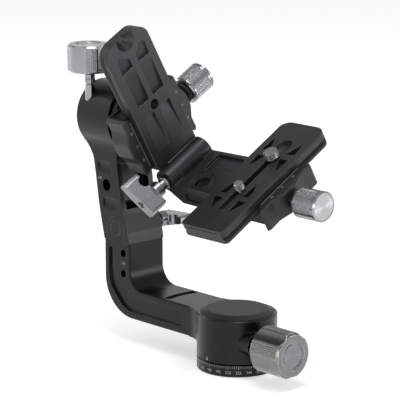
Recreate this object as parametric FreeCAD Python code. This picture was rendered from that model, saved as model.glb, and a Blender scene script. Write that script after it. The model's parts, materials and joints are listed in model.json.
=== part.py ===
import FreeCAD, Part
import math
import os

os.makedirs("parts", exist_ok=True)

# All sizes are in millimetres. The origin is the middle of the base's underside,
# Z is up, the fixed arm runs towards -X and the tilt axis is parallel to X.

# Shared screws and fits
quarter_r = 3.175
quarter_tap_r = 2.6
three_eighth_r = 4.7625
three_eighth_tap_r = 4.0
fit_running = 0.05
fit_slide = 0.06

# Pan base
base_r = 25.5
base_h = 7.5
base_chamfer = 0.5
base_pad_r_out = 23.5
base_pad_r_in = 13.0
base_pad_h = 1.2
bush_r = 7.0
bush_flange_r = 9.0
bush_flange_h = 1.6
base_screw_circle_r = 15.6
base_screw_r = 1.5
base_screw_head_r = 2.8
base_screw_head_h = 1.8
base_screw_len = 8.6
base_screw_count = 4

# Pan spindle and its bearing
spindle_flange_r = 19.0
spindle_flange_h = 3.2
pan_drum_r = 9.4
pan_drum_top = 24.8
race_bore_r = 7.5
race_out_r = 14.0
race_w = 7.0
race_t = 2.2
race_relief_r = 11.0
race_relief = 0.3
ball_count = 13
spindle_washer_r = 9.4
spindle_washer_h = 1.0
spindle_screw_r = 2.5
spindle_screw_head_r = 4.5
spindle_screw_head_h = 1.2
spindle_screw_len = 14.0

# Lower arm
housing_gap = 0.3
arm_half_w = 15.15
arm_top = 36.0
arm_bottom = 16.3
arm_x_out = -109.4
arm_x_in = -85.0
arm_out_corner_r = 26.0
arm_in_corner_r = 13.0
arm_edge_r = 1.2
arm_flare_r = 18.0
seam_z = 66.2
tongue_r = 8.0
tongue_skin = 5.0
splice_gap = 0.12
scoop_r_in = 50.5
scoop_depth = 1.4
side_pocket_depth = 1.6
pan_boss_r = 7.5
pan_boss_x = 28.0

# Pan cap
cap_flange_r = 23.3
cap_disc_r = 19.6
cap_top = 38.1
cap_spigot_h = 1.8
cap_recess_r = 18.4
cap_recess_h = 0.25

# Lock knobs
lock_r = 14.6
lock_lobes = 5
lock_scallop_r = 16.0
lock_scallop_depth = 1.4
lock_ribs = 5
lock_rib_step_deg = 5.2
lock_rib_r = 0.45
lock_chamfer = 1.4
lock_disc_r = 9.4
lock_disc_h = 2.0
lock_disc_sunk = 0.35
lock_back_r_out = 10.8
lock_back_r_in = 7.4
lock_back_depth = 3.2
lock_stem_r = 3.2
lock_collar_r = 5.0
lock_screw_r = 3.0
lock_screw_end = 5.0
cotter_r = 3.0

# Pan lock, along +X
pan_knob_y = -10.7
pan_knob_z = 21.7
pan_knob_face_x = 60.0
pan_knob_len = 24.5
pan_cotter_x = -9.0
pan_cotter_len = 20.0

# Upper arm
tilt_z = 146.8
head_r = 22.5
head_back_x = -127.5
head_front_x = -97.0
head_flare_r = 15.0
quarter_hole_x = -91.0
quarter_hole_high_z = 59.2
quarter_hole_low_z = 45.6
quarter_hole_depth = 10.0
big_hole_x = -107.0
big_hole_z = 102.5
big_hole_depth = 10.5
pivot_x = -98.7
pivot_z = 74.5
pivot_bolt_r = 3.0
pivot_cap_r = 5.3
pivot_cap_h = 2.2
pivot_head_r = 4.8
pivot_head_h = 1.4

# Tilt lock, along +Z
tilt_knob_x = -120.7
tilt_knob_y = -16.6
tilt_knob_face_z = 194.6
tilt_knob_len = 18.0
tilt_neck_z = 155.2
tilt_neck_r = 2.7
tilt_bead_r = 3.5
tilt_bead_low = 169.0
tilt_bead_high = 174.6
tilt_cotter_z = 139.0
tilt_cotter_len = 15.0
tilt_drum_r = 15.0
tilt_drum_x = -125.6
tilt_drum_len = 10.2
tilt_race_x = -112.0
tilt_cap_r = 17.0
tilt_cap_h = 1.5

# Dovetail clamps: s runs across the jaws, t along them, h is up from the plate's top
dovetail_half_w = 18.85
slab_t = 4.4
neck_inset = 2.9
neck_t = 0.8
plate_t = 9.2
jaw_drop = 4.7
jaw_lip_gap = 0.1
floor_gap = 0.05
jaw_inner_half = 19.0
tilt_jaw_half = 22.4
lens_jaw_half = 25.6
jaw_edge_s = 26.0
jaw_bulge_s = 29.2
jaw_top_chamfer = 0.8
jaw_t = 15.0
jaw_face_gap = 0.35
clamp_screw_drop = 14.2
clamp_screw_r = 2.5
clamp_screw_end_s = 3.0
knob_r = 9.8
knob_len = 19.2
knob_face_s = 54.0
knob_chamfer = 0.8
knob_panels = 6
knob_panel_depth = 0.35
knob_disc_r = 8.6
knob_disc_h = 1.6
knob_disc_sunk = 0.3
collar_r = 7.2
collar_len = 2.0
guide_pin_r = 1.5
guide_pin_t = 15.5
guide_pin_len = 18.0
guide_pin_end = 24.5

# Tilting clamp
plate1_x = -67.8
clamp1_n = -2.4
skirt_t = 4.4
skirt_inset = 3.0
hub_r = 21.0
hub_x = -96.6
hub_screw_half = 8.0
hub_screw_r = 2.0
hub_screw_head_r = 3.8
hub_screw_head_h = 2.2
hub_screw_len = 17.5

# Upper plate
plate1_top = 68.6
plate1_low = -25.0
plate1_corner_r = 11.0
plate1_hole_t = 15.8
plate1_hole_r = 3.5
plate1_pocket_depth = 2.4
scallop_r = 7.6
scallop_floor_r = 2.0
scallop_depth = 5.0
scallop_in = 2.4
stop_screw_r = 1.5
stop_screw_head_r = 2.6
stop_end = 5.0
stop1_s = 12.0
stop1_head_h = 1.3

# Hinge
hinge_x = -65.5
hinge_n = -32.5
hinge_r = 8.0
hinge_half = 18.85
hinge_mid_half = 9.9
hinge_gap = 0.15
hinge_bolt_r = 3.5
hinge_nut_r = 5.5
hinge_nut_t = 3.0

# Platform
platform_x = -57.6
platform_n = -34.0
platform_end_half = 18.85

# Lens plate
plate2_n = -29.3
plate2_half_len = 53.0
plate2_corner_r = 8.0
slot_half_w = 2.4
slot_near = -34.5
slot_far = 31.0
slot_hole_r = 5.6
under_slot_half_w = 7.4
under_slot_t = 5.0
screw_neck_r = 2.25
screw_head_r = 7.2
screw_head_t = 3.0
screw_proud = 5.2
quarter_screw_w = -13.7
big_screw_w = 18.8

# Wing levers
lever_tip = 17.6
lever_tail = 9.9
lever_width = 13.0
lever_thick = 8.6
lever_tip_thick = 5.0
lever_hub_r = 5.4
lever_hub_len = 5.0
lever_bead_r = 4.6
lever_gap = 0.2
lever_notch_u = 9.6
lever_notch_r = 3.9
lever1_end_w = -43.6
lever1_deg = 131.5
lever2_stem = 12.0
lever2_deg = 5.0

tilt_rest_deg = 29.6

X = FreeCAD.Vector(1, 0, 0)
Y = FreeCAD.Vector(0, 1, 0)
Z = FreeCAD.Vector(0, 0, 1)


def vec(x, y, z):
    return FreeCAD.Vector(x, y, z)


def rod(start, along, r, length):
    return Part.makeCylinder(r, length, start, along)


def tube(start, along, r_out, r_in, length):
    return rod(start, along, r_out, length).cut(rod(start, along, r_in, length))


def cone(start, along, r1, r2, length):
    return Part.makeCone(r1, r2, length, start, along)


def block(x0, x1, y0, y1, z0, z1):
    return Part.makeBox(x1 - x0, y1 - y0, z1 - z0, vec(x0, y0, z0))


def joined(shapes):
    return shapes[0].multiFuse(shapes[1:]).removeSplitter()


def without(shape, cutters):
    return shape.cut(Part.makeCompound(cutters)).removeSplitter()


def outline(points, place):
    # Closed wire through (u, v, corner radius) points
    ends = []
    count = len(points)
    for i in range(count):
        u, v, r = points[i]
        pu, pv = points[i - 1][0] - u, points[i - 1][1] - v
        nu, nv = points[(i + 1) % count][0] - u, points[(i + 1) % count][1] - v
        pl, nl = math.hypot(pu, pv), math.hypot(nu, nv)
        pu, pv, nu, nv = pu / pl, pv / pl, nu / nl, nv / nl
        half = math.acos(max(-1.0, min(1.0, pu * nu + pv * nv))) / 2
        if r <= 0 or abs(half - math.pi / 2) < 0.001:
            ends.append([(u, v)])
            continue
        t = r / math.tan(half)
        bu, bv = pu + nu, pv + nv
        bl = math.hypot(bu, bv)
        reach = r / math.sin(half)
        mu, mv = u + bu / bl * (reach - r), v + bv / bl * (reach - r)
        ends.append([(u + pu * t, v + pv * t), (mu, mv), (u + nu * t, v + nv * t)])
    edges = []
    for i in range(count):
        here, ahead = ends[i], ends[(i + 1) % count]
        if len(here) == 3:
            edges.append(Part.Arc(place(*here[0]), place(*here[1]), place(*here[2])).toShape())
        if math.dist(here[-1], ahead[0]) > 0.0001:
            edges.append(Part.makeLine(place(*here[-1]), place(*ahead[0])))
    return Part.Wire(edges)


def prism(points, place, along):
    return Part.Face(outline(points, place)).extrude(along)


def sharp(points):
    return [(u, v, 0) for u, v in points]


def turned(points, start, along, side):
    # Solid of revolution from (radius, distance along the axis) points
    wire = Part.makePolygon([start + side * r + along * d for r, d in points + points[:1]])
    return Part.Face(wire).revolve(start, along, 360)


def moved(shape, placement):
    copy = shape.copy()
    copy.Placement = placement.multiply(copy.Placement)
    return copy


def save(name, shape):
    solids = shape.Solids
    shape = solids[0] if len(solids) == 1 else Part.makeCompound(solids)
    shape.exportStep("parts/" + name + ".step")


floor_h = -plate_t - floor_gap
tilt_frame = FreeCAD.Placement(vec(0, 0, tilt_z), FreeCAD.Rotation(X, tilt_rest_deg))
plate1_frame = tilt_frame.multiply(FreeCAD.Placement(vec(plate1_x, 0, 0), FreeCAD.Rotation(Y, Z, X, "ZXY")))
clamp1_frame = plate1_frame.multiply(FreeCAD.Placement(vec(0, clamp1_n, 0), FreeCAD.Rotation()))
clamp2_frame = tilt_frame.multiply(FreeCAD.Placement(vec(0, 0, plate2_n), FreeCAD.Rotation()))


def save_tilted(name, shape):
    save(name, moved(shape, tilt_frame))


# Ball bearing as two races and a ring of balls
def bearing(start, along, side):
    inner = tube(start, along, race_bore_r + race_t, race_bore_r, race_w)
    outer = tube(start, along, race_out_r, race_out_r - race_t, race_w)
    track_r = (race_bore_r + race_out_r) / 2
    ball_r = (race_out_r - race_bore_r) / 2 - race_t + 0.45
    middle = start + along * (race_w / 2)
    groove = Part.makeTorus(track_r, ball_r + fit_running, middle, along)
    balls = []
    for i in range(ball_count):
        turn = FreeCAD.Rotation(along, 360.0 * i / ball_count)
        balls.append(Part.makeSphere(ball_r, middle + turn.multVec(side) * track_r))
    return inner.cut(groove), outer.cut(groove), Part.makeCompound(balls)


# Lock knob with its face at the origin, looking along +Z
def lock_knob(length):
    body = rod(vec(0, 0, -length), Z, lock_r, length)
    body = body.makeChamfer(lock_chamfer, [e for e in body.Edges if e.isClosed() and len(e.Vertexes) == 1])
    cutters = []
    step = 360.0 / lock_lobes
    for i in range(lock_lobes):
        turn = FreeCAD.Rotation(Z, step * i)
        centre = turn.multVec(vec(lock_r + lock_scallop_r - lock_scallop_depth, 0, -length - 1))
        cutters.append(rod(centre, Z, lock_scallop_r, length + 2))
        for j in range(lock_ribs):
            angle = step * (i + 0.5) + (j - (lock_ribs - 1) / 2) * lock_rib_step_deg
            spot = FreeCAD.Rotation(Z, angle).multVec(vec(lock_r, 0, -length - 1))
            cutters.append(rod(spot, Z, lock_rib_r, length + 2))
    cutters.append(rod(vec(0, 0, -lock_disc_h - lock_disc_sunk), Z, lock_disc_r + fit_running,
                       lock_disc_h + 1))
    cutters.append(rod(vec(0, 0, -length - 1), Z, lock_screw_r, length - 3))
    cutters.append(tube(vec(0, 0, -length - 1), Z, lock_back_r_out, lock_back_r_in, lock_back_depth))
    return without(body, cutters)


def lock_disc():
    disc = rod(vec(0, 0, -lock_disc_h - lock_disc_sunk), Z, lock_disc_r, lock_disc_h)
    groove = tube(vec(0, 0, -lock_disc_sunk - 0.35), Z, lock_disc_r - 1.0, lock_disc_r - 1.8, 1)
    return disc.cut(groove)


# Knurled clamp knob with its face at the origin, looking along +Z
def clamp_knob():
    body = rod(vec(0, 0, -knob_len), Z, knob_r, knob_len)
    body = body.makeChamfer(knob_chamfer, [e for e in body.Edges if e.isClosed() and len(e.Vertexes) == 1])
    wide = 360.0 / knob_panels
    cutters = []
    for i in range(knob_panels):
        panel = tube(vec(0, 0, -knob_len + 2.2), Z, knob_r + 1, knob_r - knob_panel_depth, knob_len - 5.6)
        half = math.radians(wide * 0.36)
        reach = 30.0
        keep = prism(sharp([(0, 0), (reach * math.cos(half), -reach * math.sin(half)),
                            (reach * math.cos(half), reach * math.sin(half))]),
                     lambda u, v: vec(u, v, -knob_len), Z * knob_len)
        keep.rotate(vec(0, 0, 0), Z, wide * i)
        cutters.append(panel.common(keep))
    cutters.append(tube(vec(0, 0, -knob_len + 0.9), Z, knob_r + 1, knob_r - 0.5, 0.6))
    cutters.append(tube(vec(0, 0, -2.4), Z, knob_r + 1, knob_r - 0.5, 0.6))
    cutters.append(rod(vec(0, 0, -knob_disc_h - knob_disc_sunk), Z, knob_disc_r + fit_running, 3))
    cutters.append(rod(vec(0, 0, -knob_len - 1), Z, clamp_screw_r, knob_len - 2))
    return without(body, cutters)


def knob_disc():
    return rod(vec(0, 0, -knob_disc_h - knob_disc_sunk), Z, knob_disc_r, knob_disc_h)


# Wing lever turning about +Z, wing from z = 0 to its width, hub below it
def wing_lever(stem_len):
    tip, tail = lever_tip, -lever_tail
    half, tip_half = lever_thick / 2, lever_tip_thick / 2
    bar = prism([(tail, -half + 0.8, 1.6), (tip - 3, -tip_half, 2), (tip, -tip_half + 1.0, 0.8),
                 (tip, tip_half, 1.0), (6.5, half, 6), (tail, half, 1.6)],
                lambda u, v: vec(u, v, 0), Z * lever_width)
    hollow = rod(vec(lever_notch_u, -10, 0), Y, lever_notch_r, 20)
    neck = turned([(0, -stem_len), (lever_bead_r - 0.9, -stem_len), (lever_bead_r - 0.9, -stem_len + 0.6),
                   (lever_bead_r, -stem_len + 0.9), (lever_bead_r, -stem_len + 1.9),
                   (lever_bead_r - 0.8, -stem_len + 2.3), (lever_bead_r - 0.8, -lever_hub_len - 0.6),
                   (lever_hub_r, -lever_hub_len), (lever_hub_r, 0.5), (0, 0.5)], vec(0, 0, 0), Z, X)
    seat = rod(vec(0, 0, lever_width - 3.4), Z, 2.6, 4)
    bore = rod(vec(0, 0, -stem_len - 1), Z, 1.6, stem_len + lever_width)
    return joined([bar.cut(hollow), neck]).cut(joined([seat, bore]))


# Hex socket cap screw holding a lever, head towards +Z with its top at the origin
def lever_screw(length):
    head = rod(vec(0, 0, -2.6), Z, 2.5, 2.6)
    shank = rod(vec(0, 0, -length), Z, 1.55, length - 2.5)
    socket = prism(sharp([(1.35 * math.cos(math.radians(60 * i)), 1.35 * math.sin(math.radians(60 * i)))
                          for i in range(6)]), lambda u, v: vec(u, v, -1.5), Z * 2)
    return joined([head, shank]).cut(socket)


# Pan base
base_screw_spots = []
for i in range(base_screw_count):
    turn = FreeCAD.Rotation(Z, 45 + 360.0 * i / base_screw_count)
    base_screw_spots.append(turn.multVec(vec(base_screw_circle_r, 0, 0)))

base_disc = rod(vec(0, 0, 0), Z, base_r, base_h)
base_disc = base_disc.makeChamfer(base_chamfer,
                                  [e for e in base_disc.Edges if e.isClosed() and len(e.Vertexes) == 1])
base_cut = [tube(vec(0, 0, 0), Z, base_pad_r_out, base_pad_r_in, base_pad_h),
            rod(vec(0, 0, -1), Z, bush_r, base_h + 2),
            rod(vec(0, 0, base_h - bush_flange_h), Z, bush_flange_r, bush_flange_h + 1)]
screw_bodies = []
for spot in base_screw_spots:
    floor = spot + Z * base_pad_h
    base_cut.append(rod(floor, Z, base_screw_r + 0.1, base_h))
    base_cut.append(rod(floor, Z, base_screw_head_r + 0.1, base_screw_head_h))
    screw_bodies.append(joined([rod(floor, Z, base_screw_head_r, base_screw_head_h),
                                rod(floor, Z, base_screw_r, base_screw_len)]))
save("base_disc", without(base_disc, base_cut))
save("base_screws", Part.makeCompound(screw_bodies))
save("base_pad", tube(vec(0, 0, 0), Z, base_pad_r_out, base_pad_r_in, base_pad_h))
bush = joined([rod(vec(0, 0, 0), Z, bush_r, base_h),
               rod(vec(0, 0, base_h - bush_flange_h), Z, bush_flange_r, bush_flange_h)])
save("thread_bush", bush.cut(rod(vec(0, 0, -1), Z, three_eighth_tap_r, base_h + 2)))

# Pan spindle
flange_top = base_h + spindle_flange_h
race_top = pan_drum_top + race_w
spindle = joined([rod(vec(0, 0, base_h), Z, spindle_flange_r, spindle_flange_h),
                  rod(vec(0, 0, base_h), Z, pan_drum_r, pan_drum_top - base_h),
                  rod(vec(0, 0, base_h), Z, race_bore_r, race_top - base_h - 0.2)])
spindle_cut = [rod(vec(0, 0, race_top - spindle_screw_len), Z, spindle_screw_r, spindle_screw_len)]
for spot in base_screw_spots:
    spindle_cut.append(rod(spot, Z, base_screw_r, base_pad_h + base_screw_len))
save("pan_spindle", without(spindle, spindle_cut))
save("spindle_washer", tube(vec(0, 0, race_top), Z, spindle_washer_r, spindle_screw_r + 0.2,
                            spindle_washer_h))
screw_base = race_top + spindle_washer_h
spindle_screw = joined([rod(vec(0, 0, screw_base), Z, spindle_screw_head_r, spindle_screw_head_h),
                        rod(vec(0, 0, race_top - spindle_screw_len + 1), Z, spindle_screw_r,
                            spindle_screw_len)])
save("spindle_screw", spindle_screw)
inner, outer, balls = bearing(vec(0, 0, pan_drum_top), Z, X)
save("pan_bearing_inner", inner)
save("pan_bearing_outer", outer)
save("pan_bearing_balls", balls)


# Lower arm: swept bar, round housing and the tongue of the splice
def in_xz(y):
    return lambda u, v: vec(u, y, v)


arm = prism([(arm_x_out, seam_z, 0), (arm_x_out, arm_bottom, arm_out_corner_r), (-20, arm_bottom, 0),
             (-20, arm_top, 0), (arm_x_in, arm_top, arm_in_corner_r), (arm_x_in, seam_z, 0)],
            in_xz(-arm_half_w), Y * (2 * arm_half_w))
side_edges = []
for e in arm.Edges:
    middle = e.valueAt((e.FirstParameter + e.LastParameter) / 2)
    if abs(abs(middle.y) - arm_half_w) < 0.01 and middle.x < -20.5 and middle.z < seam_z - 0.1:
        side_edges.append(e)
arm = arm.makeFillet(arm_edge_r, side_edges)
housing_low = base_h + housing_gap
housing = rod(vec(0, 0, housing_low), Z, base_r, arm_top - housing_low)
housing = housing.makeChamfer(0.6, [e for e in housing.Edges if e.isClosed() and len(e.Vertexes) == 1])
flare_d = base_r + arm_flare_r
flare_y = arm_half_w + arm_flare_r
flare_x = -math.sqrt(flare_d ** 2 - flare_y ** 2)
touch = base_r / flare_d
flares = []
for side in (1, -1):
    centre = vec(flare_x, side * flare_y, 0)
    low = centre + vec(0, -side * arm_flare_r, 0)
    high = vec(flare_x * touch, side * flare_y * touch, 0)
    middle = (low + high) * 0.5 - centre
    middle = centre + middle * (arm_flare_r / middle.Length)
    edges = [Part.Arc(low, middle, high).toShape(), Part.makeLine(high, vec(0, 0, 0)),
             Part.makeLine(vec(0, 0, 0), vec(flare_x, 0, 0)), Part.makeLine(vec(flare_x, 0, 0), low)]
    web = Part.Face(Part.Wire(edges)).extrude(Z * (arm_top - arm_bottom))
    web.translate(Z * arm_bottom)
    flares.append(web)


def tongue(extra, half):
    r = tongue_r + extra
    low = seam_z - 3
    plate = prism(sharp([(pivot_x - r, low), (pivot_x + r, low), (pivot_x + r, pivot_z),
                         (pivot_x - r, pivot_z)]),
                  in_xz(-half), Y * (2 * half))
    return joined([plate, rod(vec(pivot_x, -half, pivot_z), Y, r, 2 * half)])


splice_core = arm_half_w - tongue_skin
arm_boss = rod(vec(0, pan_knob_y, pan_knob_z), X, pan_boss_r, pan_boss_x)
arm = joined([arm, housing, arm_boss, tongue(0, arm_half_w)] + flares)
arm_cut = [rod(vec(0, 0, 0), Z, spindle_flange_r + 0.4, flange_top + 0.3),
           rod(vec(0, 0, 0), Z, pan_drum_r + fit_running, 40),
           rod(vec(0, 0, pan_drum_top), Z, race_out_r, 20),
           rod(vec(0, 0, pan_drum_top - race_relief), Z, race_relief_r, 5),
           block(arm_x_out - 1, arm_x_in + 1, -splice_core, splice_core, seam_z, pivot_z + 20),
           rod(vec(0, 0, arm_top - cap_spigot_h - 0.2), Z, cap_disc_r, 10),
           rod(vec(pan_cotter_x - 0.5, pan_knob_y, pan_knob_z), X, cotter_r + fit_running,
               pan_cotter_len + 1.5),
           rod(vec(0, pan_knob_y, pan_knob_z), X, lock_screw_r + fit_running, 60),
           rod(vec(pan_boss_x - 3, pan_knob_y, pan_knob_z), X, lock_stem_r + fit_running, 10),
           rod(vec(pivot_x, -40, pivot_z), Y, pivot_bolt_r + fit_running, 80),
           rod(vec(pivot_x, -arm_half_w - 1, pivot_z), Y, pivot_cap_r + fit_running,
               pivot_cap_h + pivot_head_h + 1),
           rod(vec(quarter_hole_x, -arm_half_w - 1, quarter_hole_high_z), Y, quarter_tap_r,
               quarter_hole_depth + 1),
           rod(vec(quarter_hole_x, -arm_half_w - 1, quarter_hole_low_z), Y, quarter_tap_r,
               quarter_hole_depth + 1)]
for side in (1, -1):
    pocket = [(-105.3, 62.0, 1.9), (-105.3, 37.5, 18.0), (-89.5, 21.0, 18.0), (-33.5, 21.0, 5.0),
              (-33.5, 31.8, 5.0), (-78.0, 31.8, 12.0), (-100.9, 41.0, 17.0), (-100.9, 62.0, 1.9)]
    start = -arm_half_w - 1 if side < 0 else arm_half_w - side_pocket_depth
    arm_cut.append(prism(pocket, in_xz(start), Y * (side_pocket_depth + 1)))
scoop = tube(vec(0, 0, arm_top - scoop_depth), Z, scoop_r_in + 5.2, scoop_r_in, 5)
arm_cut.append(scoop.common(block(-70, -30, -arm_half_w + 2.5, arm_half_w - 2.5, 0, 60)))
save("lower_arm", without(arm, arm_cut))

# Pan cap
cap = turned([(0, arm_top - cap_spigot_h), (cap_disc_r - fit_running, arm_top - cap_spigot_h),
              (cap_disc_r - fit_running, arm_top), (cap_flange_r, arm_top), (cap_flange_r, arm_top + 0.5),
              (cap_disc_r, cap_top), (0, cap_top)], vec(0, 0, 0), Z, X)
save("pan_cap", cap.cut(rod(vec(0, 0, cap_top - cap_recess_h), Z, cap_recess_r, 1)))
save("pan_cap_disc", rod(vec(0, 0, cap_top - cap_recess_h), Z, cap_recess_r - 0.1, cap_recess_h + 0.1))

# Pan lock
pan_knob_place = FreeCAD.Placement(vec(pan_knob_face_x, pan_knob_y, pan_knob_z), FreeCAD.Rotation(Z, X))
save("pan_knob", moved(lock_knob(pan_knob_len), pan_knob_place))
save("pan_knob_disc", moved(lock_disc(), pan_knob_place))
pan_cotter_end = pan_cotter_x + pan_cotter_len
pan_screw_start = pan_cotter_end + 0.02
pan_knob_back = pan_knob_face_x - pan_knob_len
pan_lock_screw = joined([rod(vec(pan_screw_start, pan_knob_y, pan_knob_z), X, lock_screw_r,
                             pan_knob_face_x - lock_screw_end - pan_screw_start),
                         rod(vec(pan_boss_x - 2.5, pan_knob_y, pan_knob_z), X, lock_stem_r,
                             pan_knob_back - pan_boss_x + 2.5),
                         rod(vec(pan_boss_x + 1.0, pan_knob_y, pan_knob_z), X, lock_collar_r, 2.0)])
save("pan_lock_screw", pan_lock_screw)
pan_cotter = rod(vec(pan_cotter_x, pan_knob_y, pan_knob_z), X, cotter_r, pan_cotter_len)
save("pan_cotter", pan_cotter.cut(rod(vec(0, 0, 0), Z, pan_drum_r + fit_running, 60)))

# Upper arm: slanted bar, round head and the fork of the splice
arm_side = [(arm_x_out, seam_z + splice_gap, 0), (-111.9, 76.8, 40), (-114.7, 89.8, 60), (-117.4, 107.6, 60),
            (-119.6, 120.5, 18), (head_back_x, 131.5, 6), (head_back_x, tilt_z + head_r + 1, 0),
            (head_front_x, tilt_z + head_r + 1, 0), (head_front_x, 118.0, 6), (-94.3, 98.0, 40),
            (-90.7, 85.3, 40), (-86.2, 72.6, 14), (arm_x_in, seam_z + splice_gap, 0)]
upper = prism(arm_side, in_xz(-head_r - 1), Y * (2 * head_r + 2))
blend_d = head_r + head_flare_r
blend_y = arm_half_w + head_flare_r
blend_z = tilt_z - math.sqrt(blend_d ** 2 - blend_y ** 2)
left_low, right_low = vec(0, -arm_half_w, seam_z - 1), vec(0, arm_half_w, seam_z - 1)
left_in, right_in = vec(0, -arm_half_w, blend_z), vec(0, arm_half_w, blend_z)


def blend_edge(side):
    centre = vec(0, side * blend_y, blend_z)
    low = vec(0, side * arm_half_w, blend_z)
    high = vec(0, side * blend_y, blend_z - tilt_z) * (head_r / blend_d) + Z * tilt_z
    middle = (low + high) * 0.5 - centre
    middle = centre + middle * (head_flare_r / middle.Length)
    return Part.Arc(low, middle, high).toShape(), high


right_arc, right_high = blend_edge(1)
left_arc, left_high = blend_edge(-1)
front = Part.Wire([Part.makeLine(left_low, right_low), Part.makeLine(right_low, right_in), right_arc,
                   Part.Arc(right_high, vec(0, 0, tilt_z + head_r), left_high).toShape(), left_arc,
                   Part.makeLine(left_in, left_low)])
front = Part.Face(front).extrude(X * 60)
front.translate(X * (head_back_x - 5))
upper = upper.common(front)
core_keep = block(arm_x_out - 20, arm_x_in + 20, -splice_core + splice_gap, splice_core - splice_gap, 0, 120)
upper_cut = [tongue(splice_gap, arm_half_w + 5).cut(core_keep),
             rod(vec(pivot_x, -40, pivot_z), Y, pivot_bolt_r + fit_running, 80),
             rod(vec(tilt_race_x - race_relief, 0, tilt_z), X, race_relief_r, 5),
             rod(vec(head_back_x - 1, 0, tilt_z), X, tilt_drum_r + fit_running, tilt_drum_x + tilt_drum_len
                 + 0.3 - head_back_x + 1),
             rod(vec(head_back_x - 1, 0, tilt_z), X, tilt_cap_r, tilt_cap_h + 1),
             rod(vec(head_back_x - 1, 0, tilt_z), X, race_bore_r + 0.4, 40),
             rod(vec(tilt_race_x, 0, tilt_z), X, race_out_r, 30),
             rod(vec(tilt_knob_x, tilt_knob_y, tilt_cotter_z - 0.5), Z, cotter_r + fit_running,
                 tilt_cotter_len + 1.5),
             rod(vec(tilt_knob_x, tilt_knob_y, tilt_z), Z, lock_screw_r + fit_running, 60),
             rod(vec(tilt_knob_x, tilt_knob_y, tilt_neck_z - fit_running), Z, lock_stem_r + fit_running, 60),
             rod(vec(big_hole_x, -arm_half_w - 1, big_hole_z), Y, three_eighth_tap_r, big_hole_depth + 1)]
for centre_x, centre_z in ((-108.6, 117.0), (-103.6, 93.6)):
    thumb = rod(vec(centre_x - 30, -arm_half_w - 8.0, centre_z - 3.0), X, 9.0, 60)
    slot = prism([(centre_x - 7.2, centre_z - 9, 2), (centre_x + 6.4, centre_z - 9, 2),
                  (centre_x + 6.4, centre_z + 3.0, 4.0), (centre_x - 7.2, centre_z + 3.0, 4.0)],
                 in_xz(-arm_half_w - 3), Y * 8)
    upper_cut.append(thumb.common(slot))
inner_pocket = prism([(-99.5, 90.5, 3), (-80.0, 84.5, 0), (-80.0, 124.0, 0), (-102.5, 118.0, 3)],
                     in_xz(-arm_half_w + 4.0), Y * (2 * arm_half_w - 8.0))
upper_cut.append(inner_pocket)
upper = without(upper, upper_cut)
save("upper_arm", upper)

# Splice bolt, its cap and the wing lever that tightens it
pivot_bolt = joined([rod(vec(pivot_x, -arm_half_w + pivot_cap_h, pivot_z), Y, pivot_bolt_r,
                         2 * arm_half_w - pivot_cap_h),
                     rod(vec(pivot_x, -arm_half_w + pivot_cap_h, pivot_z), Y, pivot_head_r, pivot_head_h)])
save("splice_bolt", pivot_bolt.cut(rod(vec(pivot_x, 2.0, pivot_z), Y, 1.6, 40)))
splice_cap = rod(vec(pivot_x, -arm_half_w, pivot_z), Y, pivot_cap_r, pivot_cap_h)
splice_cap = splice_cap.cut(tube(vec(pivot_x, -arm_half_w - 1, pivot_z), Y, 4.5, 4.2, 1.25))
save("splice_cap", splice_cap)
lever2_place = FreeCAD.Placement(vec(pivot_x, arm_half_w + lever_gap + lever2_stem, pivot_z),
                                 FreeCAD.Rotation(X, Z * -1, Y, "ZXY"))
lever2_turn = FreeCAD.Placement(vec(0, 0, 0), FreeCAD.Rotation(Z, -lever2_deg))
lever2_frame = lever2_place.multiply(lever2_turn)
save("arm_lever", moved(wing_lever(lever2_stem), lever2_frame))
screw_place = FreeCAD.Placement(vec(0, 0, lever_width - 0.8), FreeCAD.Rotation())
save("arm_lever_screw", moved(lever_screw(24.0), lever2_frame.multiply(screw_place)))

# Tilt lock
tilt_knob_place = FreeCAD.Placement(vec(tilt_knob_x, tilt_knob_y, tilt_knob_face_z), FreeCAD.Rotation())
save("tilt_knob", moved(lock_knob(tilt_knob_len), tilt_knob_place))
save("tilt_knob_disc", moved(lock_disc(), tilt_knob_place))
tilt_screw_z = tilt_cotter_z + tilt_cotter_len + 0.02
tilt_knob_back = tilt_knob_face_z - tilt_knob_len
tilt_mid = (tilt_bead_low + tilt_bead_high) / 2
tilt_stem = turned([(0, tilt_screw_z), (lock_screw_r, tilt_screw_z), (lock_screw_r, tilt_neck_z),
                    (lock_stem_r, tilt_neck_z), (lock_stem_r, tilt_bead_low - 1.2),
                    (tilt_neck_r, tilt_bead_low - 0.8),
                    (tilt_neck_r, tilt_bead_low - 0.4), (tilt_bead_r, tilt_bead_low),
                    (tilt_bead_r, tilt_mid - 0.3),
                    (tilt_bead_r - 0.3, tilt_mid), (tilt_bead_r, tilt_mid + 0.3),
                    (tilt_bead_r, tilt_bead_high),
                    (tilt_neck_r, tilt_bead_high + 0.5), (tilt_neck_r, tilt_knob_back),
                    (tilt_neck_r, tilt_knob_face_z - lock_screw_end),
                    (0, tilt_knob_face_z - lock_screw_end)],
                   vec(tilt_knob_x, tilt_knob_y, 0), Z, X)
save("tilt_lock_screw", tilt_stem)
tilt_cotter = rod(vec(tilt_knob_x, tilt_knob_y, tilt_cotter_z), Z, cotter_r, tilt_cotter_len)
save("tilt_cotter", tilt_cotter.cut(rod(vec(-140, 0, tilt_z), X, tilt_drum_r + fit_running, 60)))

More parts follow.
